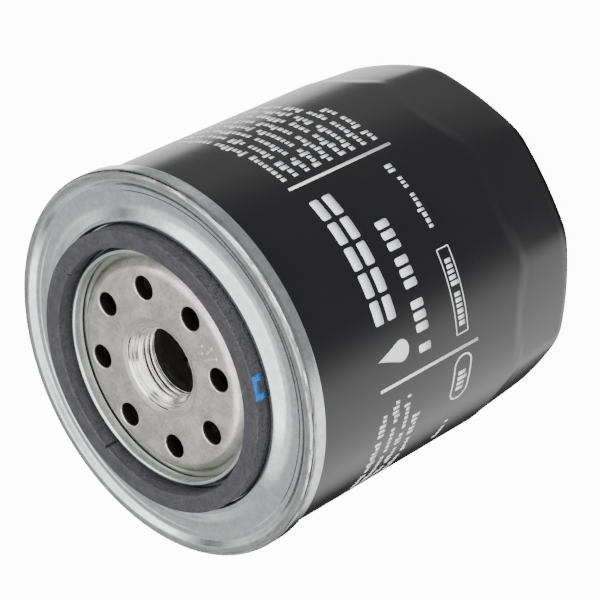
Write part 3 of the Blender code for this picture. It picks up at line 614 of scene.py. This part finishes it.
def gasket(look):
    corners = [
        (GASKET_RADIUS, 0.0, 0.35),
        (GASKET_RADIUS, -GASKET_DEPTH, 0.3),
        (GASKET_INNER_RADIUS, -GASKET_DEPTH, 0.3),
        (GASKET_INNER_RADIUS, 0.0, 0.45),
    ]
    close = np.radians(np.arange(-1.0, 1.01, 0.1))
    near = [slit + close for slit in SLIT_AZIMUTHS]
    angles = np.concatenate((even_angles(RING_COLUMNS), *near))
    angles = np.unique(np.round(angles, 6))
    outline = divided(rounded(corners, 10.0), 0.5)
    piece = turned("gasket_ring", outline, angles, look, gasket_shape)
    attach(piece, "casing")
    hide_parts("sealing_gasket")


# ---------------------------------------------------------------- base plate
def thread_reach(radius, height, azimuth):
    """Radius of the bore once a right-hand screw thread is cut in it."""
    turns = (height / THREAD_PITCH - azimuth / math.tau) % 1.0
    flank = np.abs(2.0 * turns - 1.0)
    depth = np.clip((flank - THREAD_FLAT) / (1.0 - 2.0 * THREAD_FLAT), 0.0, 1.0)
    depth = 0.5 * smooth(depth) + 0.5 * depth
    return np.maximum(radius, THREAD_MINOR + (THREAD_MAJOR - THREAD_MINOR) * depth)


def threaded_solid(outline, first, last, columns):
    """Turned solid whose outline has the plain bore between its points first and last.

    Between them the rows run up as helices, one pitch a turn, so they follow the thread. Where a
    helix would pass the bore's ends it stays on them, and the welding closes what that leaves.
    """
    angles = even_angles(columns) + 0.004        # no column runs through a corner of a hole
    bottom, top = outline[first].y, outline[last].y
    helices = math.ceil((top - bottom + THREAD_PITCH) / THREAD_PITCH * ROWS_A_TURN)
    rise = THREAD_PITCH * (angles - angles[0]) / math.tau
    rows = []
    for i, (radius, height) in enumerate(outline):
        in_bore = radius < THREAD_MAJOR + 1.0 and BOSS_END + 0.05 < height < BORE_MOUTH
        reach = thread_reach(radius, height, angles) if in_bore else np.full(columns, radius)
        rows.append((reach, np.full(columns, height)))
        if i == first:
            for k in range(1, helices):
                start = bottom - THREAD_PITCH + k * THREAD_PITCH / ROWS_A_TURN
                climb = np.clip(start + rise, bottom, top)
                rows.append((thread_reach(THREAD_MINOR, climb, angles), climb))
    points = [np.stack((r * np.cos(angles), r * np.sin(angles), z), -1) for r, z in rows]

    def next_turn(row):
        if first < row < first + helices:
            return min(row + ROWS_A_TURN, first + helices)
        return row

    faces = []
    for i in range(len(rows)):
        below = (i + 1) % len(rows)
        for k in range(columns - 1):
            faces.append((
                i * columns + k,
                i * columns + k + 1,
                below * columns + k + 1,
                below * columns + k,
            ))
        end = columns - 1
        faces.append((
            i * columns + end,
            next_turn(i) * columns,
            next_turn(below) * columns,
            below * columns + end,
        ))
    return np.concatenate(points), faces


def hole_tool():
    """A cylinder for each inlet hole, flared where it leaves the plate's upper face."""
    flare = 0.34
    levels = [(HOLE_RADIUS + 0.2, PLATEAU_UNDERSIDE - 0.8), (HOLE_RADIUS, PLATEAU_UNDERSIDE + 0.1)]
    for k in range(7):
        turn = math.radians(13.0 * k)
        radius = HOLE_RADIUS + flare * (1 - math.cos(turn))
        levels.append((radius, PLATEAU - flare * (1 - math.sin(turn))))
    levels.append((HOLE_RADIUS + flare + 0.5, PLATEAU + 0.12))
    sides = even_angles(72) + 0.013
    points, faces = [], []
    for i in range(HOLE_COUNT):
        turn = math.tau * i / HOLE_COUNT
        middle = np.array((HOLE_CIRCLE * math.cos(turn), HOLE_CIRCLE * math.sin(turn), 0.0))
        ring = np.stack((np.cos(sides), np.sin(sides), 0.0 * sides), -1)
        loops = [middle + r * ring + np.array((0.0, 0.0, z)) for r, z in levels]
        new_points, new_faces = capped(loops)
        start = sum(len(p) for p in points)
        points.append(new_points)
        faces += [tuple(start + v for v in f) for f in new_faces]
    return np.concatenate(points), faces


def soften_bore(mesh):
    """Let the thread's rounded crests and roots shade without creases."""
    crease = mesh.attributes["sharp_edge"]
    for edge in mesh.edges:
        reach = max(mesh.vertices[v].co.xy.length for v in edge.vertices)
        if reach < (THREAD_MAJOR + 0.1) * MM:
            crease.data[edge.index].value = False


def base_plate(look):
    """Thick plate with its threaded boss and inlet holes."""
    boss = THREAD_MAJOR + 3.0
    corners = [
        # the outer wall and the underside, inwards to the boss
        (PLATE_RADIUS, -6.20, 0.3),
        (PLATE_RADIUS, PLATE_BOTTOM, 0.3),
        (26.00, PLATE_BOTTOM, 0.5),
        (24.40, -8.20, 0.5),
        (24.00, PLATEAU_UNDERSIDE, 0.5),
        (boss + 0.8, PLATEAU_UNDERSIDE, 0.5),
        (boss, -7.35, 0.3),
        (boss, BOSS_END, 0.4),
        # up the bore, and its stepped lead-in
        (THREAD_MINOR + 0.6, BOSS_END, 0.0),
        (THREAD_MINOR, BOSS_END + 0.5, 0.0),
        (THREAD_MINOR, -6.55, 0.0),
        (THREAD_MAJOR + 0.05, -5.65, 0.08),
        (9.80, -5.15, 0.1),
        (10.15, -5.05, 0.1),
        (10.35, -4.55, 0.12),
        (10.80, -4.40, 0.15),
        (11.05, -3.95, 0.2),
        # the raised face and the slope down to the edge
        (12.40, PLATEAU, 1.4),
        (24.90, PLATEAU, 2.7),
        (27.30, -6.20, 1.2),
    ]
    outline = []
    ring = rounded(corners, 8.0)
    for i, here in enumerate(ring):
        following = ring[(i + 1) % len(ring)]
        plain_bore = max(abs(p.x - THREAD_MINOR) for p in (here, following)) < 0.001
        if plain_bore:
            first = len(outline)
        in_bore = max(here.x, following.x) < THREAD_MAJOR + 0.6 and not plain_bore
        steps = max(1, math.ceil((following - here).length / THREAD_STEP)) if in_bore else 1
        outline += [here.lerp(following, k / steps) for k in range(steps)]
    points, faces = threaded_solid(outline, first, first + 1, PLATE_COLUMNS)
    piece = finish("plate_disc", points, faces, look)
    weld = piece.modifiers.new("weld", "WELD")
    weld.merge_threshold = 0.0005 * MM
    keep_modified(piece)
    points, faces = hole_tool()
    tool = finish("hole_tool", points, faces, look)
    boolean = piece.modifiers.new("holes", "BOOLEAN")
    boolean.operation = "DIFFERENCE"
    boolean.solver = "EXACT"
    boolean.object = tool
    keep_modified(piece)
    bpy.data.objects.remove(tool)
    piece.data.shade_smooth()
    piece.data.set_sharp_from_angle(angle=PLATE_CREASE_ANGLE)
    soften_bore(piece.data)
    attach(piece, "casing")
    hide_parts("base_plate")


# ---------------------------------------------------------------- printing
class Ink:
    """Thin printed shapes on a round wall, gathered into one piece."""

    def __init__(self, name, wall, look):
        self.name = name
        self.wall = wall
        self.look = look
        self.points = []
        self.faces = []

    def strip(self, first, second):
        """Band between two rows of (azimuth in degrees, height) points."""
        start = len(self.points)
        radius = self.wall + PRINT_LIFT
        for pair in zip(first, second):
            for azimuth, height in pair:
                turn = math.radians(azimuth)
                self.points.append((radius * math.cos(turn), radius * math.sin(turn), height))
        for i in range(len(first) - 1):
            a = start + 2 * i
            self.faces.append((a, a + 1, a + 3, a + 2))

    def degrees(self, length):
        """Azimuth that a length covers on the wall."""
        return math.degrees(length / self.wall)

    def bar(self, left, right, low, high, corner=0.0):
        """Filled bar from azimuth left to right, with round corners."""
        width = (right - left) / self.degrees(1.0)
        steps = max(2, math.ceil(width / 0.8))
        stops = {k * width / steps for k in range(steps + 1)}
        for k in range(5):
            reach = corner * (1 - math.cos(math.pi / 2 * k / 4))
            stops |= {reach, width - reach}
        lower, upper = [], []
        for stop in sorted(stops):
            edge = min(stop, width - stop)
            inside = max(corner - edge, 0.0)
            drop = corner - math.sqrt(max(corner ** 2 - inside ** 2, 0.0))
            azimuth = left + self.degrees(stop)
            lower.append((azimuth, low + drop))
            upper.append((azimuth, high - drop))
        self.strip(lower, upper)

    def loop(self, centre, width, height, corner, line):
        """Outline of a round-cornered box, line millimetres wide, about (azimuth, height)."""
        path = []
        for quarter, (side, end) in enumerate(((1, 1), (-1, 1), (-1, -1), (1, -1))):
            for k in range(9):
                turn = math.pi / 2 * (quarter + k / 8)
                outward = Vector((math.cos(turn), math.sin(turn)))
                middle = Vector((side * (width / 2 - corner), end * (height / 2 - corner)))
                path.append((middle + outward * corner, outward))
        path.append(path[0])
        inner, outer = [], []
        for (here, out), (there, out_there) in zip(path, path[1:]):
            pieces = max(1, math.ceil((there - here).length / 0.8))
            for k in range(pieces):
                point = here.lerp(there, k / pieces)
                away = out.lerp(out_there, k / pieces).normalized() * line / 2
                for row, place in ((inner, point - away), (outer, point + away)):
                    row.append((centre[0] + self.degrees(place.x), centre[1] + place.y))
        inner.append(inner[0])
        outer.append(outer[0])
        self.strip(inner, outer)

    def words(self, start, end, low, tall, seed, short=0.62):
        """A row of plain small blocks, grouped like words, from azimuth start to end.

        A few blocks are tall millimetres high, and the others reach short of that share.
        """
        draw = random.Random(seed)
        block_gap, word_gap = self.degrees(tall * 0.22), self.degrees(tall * 0.6)
        here = start
        while here < end:
            for _ in range(draw.randint(3, 8)):
                width = self.degrees(tall * draw.uniform(0.30, 0.55))
                if here + width > end:
                    return
                high = tall if draw.random() < 0.25 else tall * short
                drop = tall * 0.25 if draw.random() < 0.1 else 0.0
                self.bar(here, here + width, low - drop, low + high)
                here += width + block_gap
            here += word_gap

    def make(self):
        piece = finish(self.name, self.points, self.faces, self.look)
        weld = piece.modifiers.new("weld", "WELD")
        weld.merge_threshold = 0.001 * MM
        thick = piece.modifiers.new("thickness", "SOLIDIFY")
        thick.thickness = PRINT_THICKNESS * MM
        thick.offset = -1.0
        keep_modified(piece)
        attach(piece, "casing")
        return piece


def printing(look):
    """Plain bars, blocks and frames laid out as the can's print is, with nothing to read.

    Azimuths and widths are in degrees, heights in millimetres from the gasket's face.
    """
    rules = Ink("print_rules", CAN_RADIUS, look)
    half = rules.degrees(0.42)
    for azimuth in (9.2, -56.0):
        rules.bar(azimuth - half, azimuth + half, -63.5, -28.5)
    rules.make()

    heading = Ink("print_heading", CAN_RADIUS, look)
    width, spacing = 6.9, 8.25
    for i in range(5):
        left = -37.0 + spacing * i
        for low, high in ((-37.0, -34.2), (-32.8, -30.0)):
            heading.bar(left, left + width, low, high, BLOCK_CORNER)
    heading.make()

    row = Ink("print_number_row", CAN_RADIUS, look)
    width, spacing = 2.4, 3.4
    for first, count in ((-50.6, 1), (-44.4, 3), (-31.4, 3), (-19.9, 3)):
        for i in range(count):
            left = first + spacing * i
            row.bar(left, left + width, -46.5, -42.4, BLOCK_CORNER)
    row.make()

    small = Ink("print_small_rows", CAN_RADIUS, look)
    small.words(-19.0, 4.6, -58.5, 2.2, 5)
    small.words(-49.0, -28.0, -59.0, 2.2, 11, 0.9)
    small.words(-71.0, -62.4, -59.6, 2.6, 8, 1.0)
    small.words(-93.0, -83.0, -59.4, 2.0, 3)
    small.make()

    frames = Ink("print_frames", CAN_RADIUS, look)
    frames.loop((-38.4, -57.9), 21.4, 4.0, 0.15, 0.28)
    frames.loop((-66.5, -58.4), 13.0, 6.0, 2.9, 0.5)
    frames.make()

    upper = Ink("print_upper_rows", CAN_RADIUS, look)
    left, first_row, spacing = 12.4, -30.6, 3.92
    for i, length in enumerate((62.0, 58.0, 66.0, 60.0, 64.0, 57.0, 65.0, 61.0, 22.0)):
        upper.words(left, left + length, first_row - spacing * i, 2.3, 20 + i)
    upper.make()

    lower = Ink("print_lower_rows", CAN_RADIUS, look)
    first_row, spacing = -31.4, 4.1
    spans = ((-118.0, -62.6), (-121.0, -59.6), (-119.0, -61.0), (-116.0, -69.5))
    for i, (start, end) in enumerate(spans):
        lower.words(start, end, first_row - spacing * i, 2.1, 40 + i)
    lower.make()

    drop_mark(look)


def drop_mark(look):
    """Plain oil drop standing where a maker's sign would be."""
    drop = Ink("print_drop", CAN_RADIUS, look)
    centre, low, radius, tip = -46.8, -36.4, 2.7, 8.0
    shoulder, shoulder_width = radius * 0.45, radius * 0.893     # where the round part ends
    rows = 26
    levels = [low - radius + (radius + tip) * (k / rows) for k in range(rows + 1)]

    def half_width(height):
        above = height - low
        if above <= shoulder:
            return math.sqrt(max(radius ** 2 - above ** 2, 0.0))
        share = (tip - above) / (tip - shoulder)
        return shoulder_width * max(share, 0.0) ** 1.15

    for bottom, top in zip(levels, levels[1:]):
        ends = []
        for height in (bottom, top):
            half = drop.degrees(half_width(height)) + 0.001
            ends.append([(centre + half * (k / 4 - 1), height) for k in range(9)])
        drop.strip(ends[0], ends[1])
    drop.make()


def gasket_mark(look):
    """Open square of blue marking ink on the gasket's outer wall."""
    mark = Ink("gasket_ink_mark", GASKET_RADIUS + 0.02, look)
    mark.bar(-47.8, -38.0, -1.75, -0.3, 0.3)
    mark.bar(-40.6, -38.0, -3.5, -1.0)
    mark.bar(-47.8, -45.2, -3.6, -1.0)
    mark.make().visible_glossy = False           # no second mark mirrored in the lid


def plate_ticks(look):
    """Short plain strokes struck into the plate between two inlet holes."""
    strokes = (                      # near radius and azimuth, far radius and azimuth
        (16.4, -17.0, 18.6, -19.5),
        (16.2, -23.5, 17.6, -24.5),
        (18.9, -26.0, 21.4, -23.6),
        (17.0, -30.0, 21.6, -30.8),
    )
    sunk, height, half, top_share = 0.04, 0.2, 0.3, 0.45
    box = ((3, 2, 1, 0), (4, 5, 6, 7), (0, 1, 5, 4), (1, 2, 6, 5), (2, 3, 7, 6), (3, 0, 4, 7))
    points, faces = [], []
    for near, first, far, last in strokes:
        ends = []
        for radius, azimuth in ((near, first), (far, last)):
            turn = math.radians(azimuth)
            ends.append(Vector((radius * math.cos(turn), radius * math.sin(turn))))
        side = (ends[1] - ends[0]).orthogonal().normalized() * half
        start = len(points)
        for lift, share in ((-sunk, 1.0), (height, top_share)):
            for end, sign in ((0, 1), (1, 1), (1, -1), (0, -1)):
                corner = ends[end] + sign * share * side
                points.append((corner.x, corner.y, PLATEAU + lift))
        faces += [tuple(start + v for v in face) for face in box]
    piece = finish("plate_ticks", points, faces, look)
    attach(piece, "casing")


# ---------------------------------------------------------------- springs
def coil(name, node, radius_low, radius_high, turns, wire, look):
    """Smooth round-wire spring in place of a CAD spring, over the height that spring takes."""
    dead = 0.75                      # closed turns at each end
    steps_a_turn = 40
    low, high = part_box(node)
    half = wire / 2
    bottom, top = low.z / MM - TOP + half, high.z / MM - TOP - half
    count = turns * steps_a_turn
    sides = even_angles(14)
    up = np.array((0.0, 0.0, 1.0))
    loops = []
    for i in range(count + 1):
        share = i / count
        rise = min(max((share * turns - dead) / (turns - 2 * dead), 0.0), 1.0)
        turn = math.tau * turns * share
        out = np.array((math.cos(turn), math.sin(turn), 0.0))
        radius = radius_low + (radius_high - radius_low) * share
        centre = radius * out + (bottom + (top - bottom) * rise) * up
        round_wire = [math.cos(side) * out + math.sin(side) * up for side in sides]
        loops.append(centre + half * np.array(round_wire))
    points, faces = capped(loops)
    piece = finish(name, points, faces, look)
    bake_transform(piece)
    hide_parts(node)


# ---------------------------------------------------------------- stage
def floor():
    """Plain pale floor, bright by itself and kept out of the object's reflections."""
    look = Look("floor_white", (0.6, 0.6, 0.6), 0.0, 0.8)
    tone = look.noise(0.002, 2.0)
    look.colour(look.mix(tone, (0.58, 0.58, 0.58), (0.62, 0.62, 0.62)))
    look.shader.inputs["Emission Color"].default_value = (1.0, 1.0, 1.0, 1.0)
    look.shader.inputs["Emission Strength"].default_value = FLOOR_GLOW
    signs = ((-1, -1), (1, -1), (1, 1), (-1, 1))
    corners = [(x * FLOOR_HALF, y * FLOOR_HALF, 0.0) for x, y in signs]
    mesh = bpy.data.meshes.new("floor")
    mesh.from_pydata(corners, [], [(0, 1, 2, 3)])
    ground = bpy.data.objects.new("floor", mesh)
    ground.location.z = -FLOOR_DROP
    mesh.materials.append(look.material)
    bpy.context.scene.collection.objects.link(ground)
    ground.visible_glossy = False
    ground.visible_diffuse = False


class Studio:
    """World lit by soft panels fixed round the object."""

    def __init__(self):
        world = bpy.data.worlds.new("studio")
        bpy.context.scene.world = world
        world.use_nodes = True
        self.tree = world.node_tree
        self.background = self.tree.nodes["Background"]
        self.background.inputs["Color"].default_value = (1.0, 1.0, 1.0, 1.0)
        self.direction = self.tree.nodes.new("ShaderNodeTexCoord").outputs["Generated"]
        self.total = None

    def math(self, operation, first, second=None):
        made = self.tree.nodes.new("ShaderNodeMath")
        made.operation = operation
        self.tree.links.new(first, made.inputs[0])
        if isinstance(second, bpy.types.NodeSocket):
            self.tree.links.new(second, made.inputs[1])
        elif second is not None:
            made.inputs[1].default_value = second
        return made.outputs[0]

    def along(self, axis):
        made = self.tree.nodes.new("ShaderNodeVectorMath")
        made.operation = "DOT_PRODUCT"
        self.tree.links.new(self.direction, made.inputs[0])
        made.inputs[1].default_value = axis
        return made.outputs["Value"]

    def fade(self, angle, half, soft):
        made = self.tree.nodes.new("ShaderNodeMapRange")
        made.interpolation_type = "SMOOTHSTEP"
        self.tree.links.new(self.math("ABSOLUTE", angle), made.inputs["Value"])
        made.inputs["From Min"].default_value = math.radians(half)
        made.inputs["From Max"].default_value = math.radians(half + soft)
        made.inputs["To Min"].default_value = 1.0
        made.inputs["To Max"].default_value = 0.0
        return made.outputs["Result"]

    def panel(self, azimuth, elevation, half_width, half_height, soft, strength):
        """Soft-edged panel about a direction, all angles in degrees."""
        turn = Matrix.Rotation(math.radians(azimuth), 3, "Z")
        turn = turn @ Matrix.Rotation(-math.radians(elevation), 3, "Y")
        ahead, side, up = (tuple(turn.col[i]) for i in range(3))
        sideways = self.math("ARCTAN2", self.along(side), self.along(ahead))
        upwards = self.math("ARCSINE", self.along(up))
        across = self.fade(sideways, half_width, soft)
        level = self.math("MULTIPLY", across, self.fade(upwards, half_height, soft))
        level = self.math("MULTIPLY", level, strength)
        self.total = level if self.total is None else self.math("ADD", self.total, level)

    def finish(self):
        level = self.math("ADD", self.total, STUDIO_DARK)
        self.tree.links.new(level, self.background.inputs["Strength"])


def studio():
    """Soft panels, placed where the can, the lid and the plate mirror them."""
    room = Studio()
    # over the far side, for the flat faces
    room.panel(165.0, 41.0, 36.0, 10.0, 14.0, 0.62)
    # higher on the far side
    room.panel(160.0, 70.0, 60.0, 7.0, 14.0, 1.10)
    # overhead
    room.panel(-19.0, 84.0, 60.0, 12.0, 14.0, 2.60)
    # low on the far side
    room.panel(160.0, 12.0, 40.0, 5.0, 12.0, 0.50)
    # between the far side and the strip below
    room.panel(122.0, 14.0, 18.0, 6.0, 14.0, 0.35)
    # between the far side and the lower side
    room.panel(-158.0, -4.0, 22.0, 10.0, 16.0, 0.45)
    # behind the camera, for print and edges
    room.panel(-19.0, 34.0, 34.0, 14.0, 16.0, 4.6)
    # strip along the can's upper outline
    room.panel(137.0, -40.0, 14.0, 9.0, 10.0, 1.5)
    # over the can's lower side
    room.panel(-110.0, -38.0, 20.0, 20.0, 24.0, 1.6)
    # faint light on the can's front
    room.panel(-20.0, -42.0, 60.0, 20.0, 30.0, 0.32)
    # soft edge of the strip, on the upper flats
    room.panel(102.0, -46.0, 20.0, 12.0, 26.0, 0.36)
    room.finish()


def camera():
    """Camera at the photo's angle."""
    lens = bpy.data.cameras.new("camera")
    lens.lens = CAMERA_LENS
    lens.sensor_width = 36.0
    lens.clip_start = 0.01
    eye = bpy.data.objects.new("camera", lens)
    bpy.context.scene.collection.objects.link(eye)
    turn = Matrix.Rotation(math.radians(CAMERA_AZIMUTH + 90.0), 4, "Z")
    tilt = Matrix.Rotation(math.radians(90.0 - CAMERA_ELEVATION), 4, "X")
    roll = Matrix.Rotation(math.radians(CAMERA_ROLL), 4, "Z")
    away = Matrix.Translation((0.0, 0.0, CAMERA_DISTANCE * MM))
    eye.matrix_world = Matrix.Translation(CAMERA_AIM * MM) @ turn @ tilt @ away @ roll
    bpy.context.scene.camera = eye


# ---------------------------------------------------------------- the whole
def paint_nodes():
    """Finer materials on the CAD pieces that stay."""
    looks = {
        "valve_rubber": smooth_rubber(),
        "bare_steel": tinned_steel(),
        "filter_paper": filter_paper(),
        "adhesive": adhesive(),
        "sealant": sealant(),
    }
    for part in frame["record"]["subparts"]:
        look = looks.get(part["material_slot"])
        if look:
            frame["nodes"][part["node"]].data.materials[0] = look


def build():
    camera()
    floor()
    studio()
    paint_nodes()
    can_shell(black_enamel())
    lid_ring(zinc())
    gasket(gasket_rubber())
    base_plate(satin_plate())
    plate_ticks(struck_metal())
    printing(white_ink())
    gasket_mark(blue_ink())
    steel = spring_steel()
    coil("support_coil", "support_spring", 26.0, 17.0, 3, 1.8, steel)
    coil("bypass_coil", "bypass_spring", 6.5, 6.5, 5, 1.0, steel)


build()
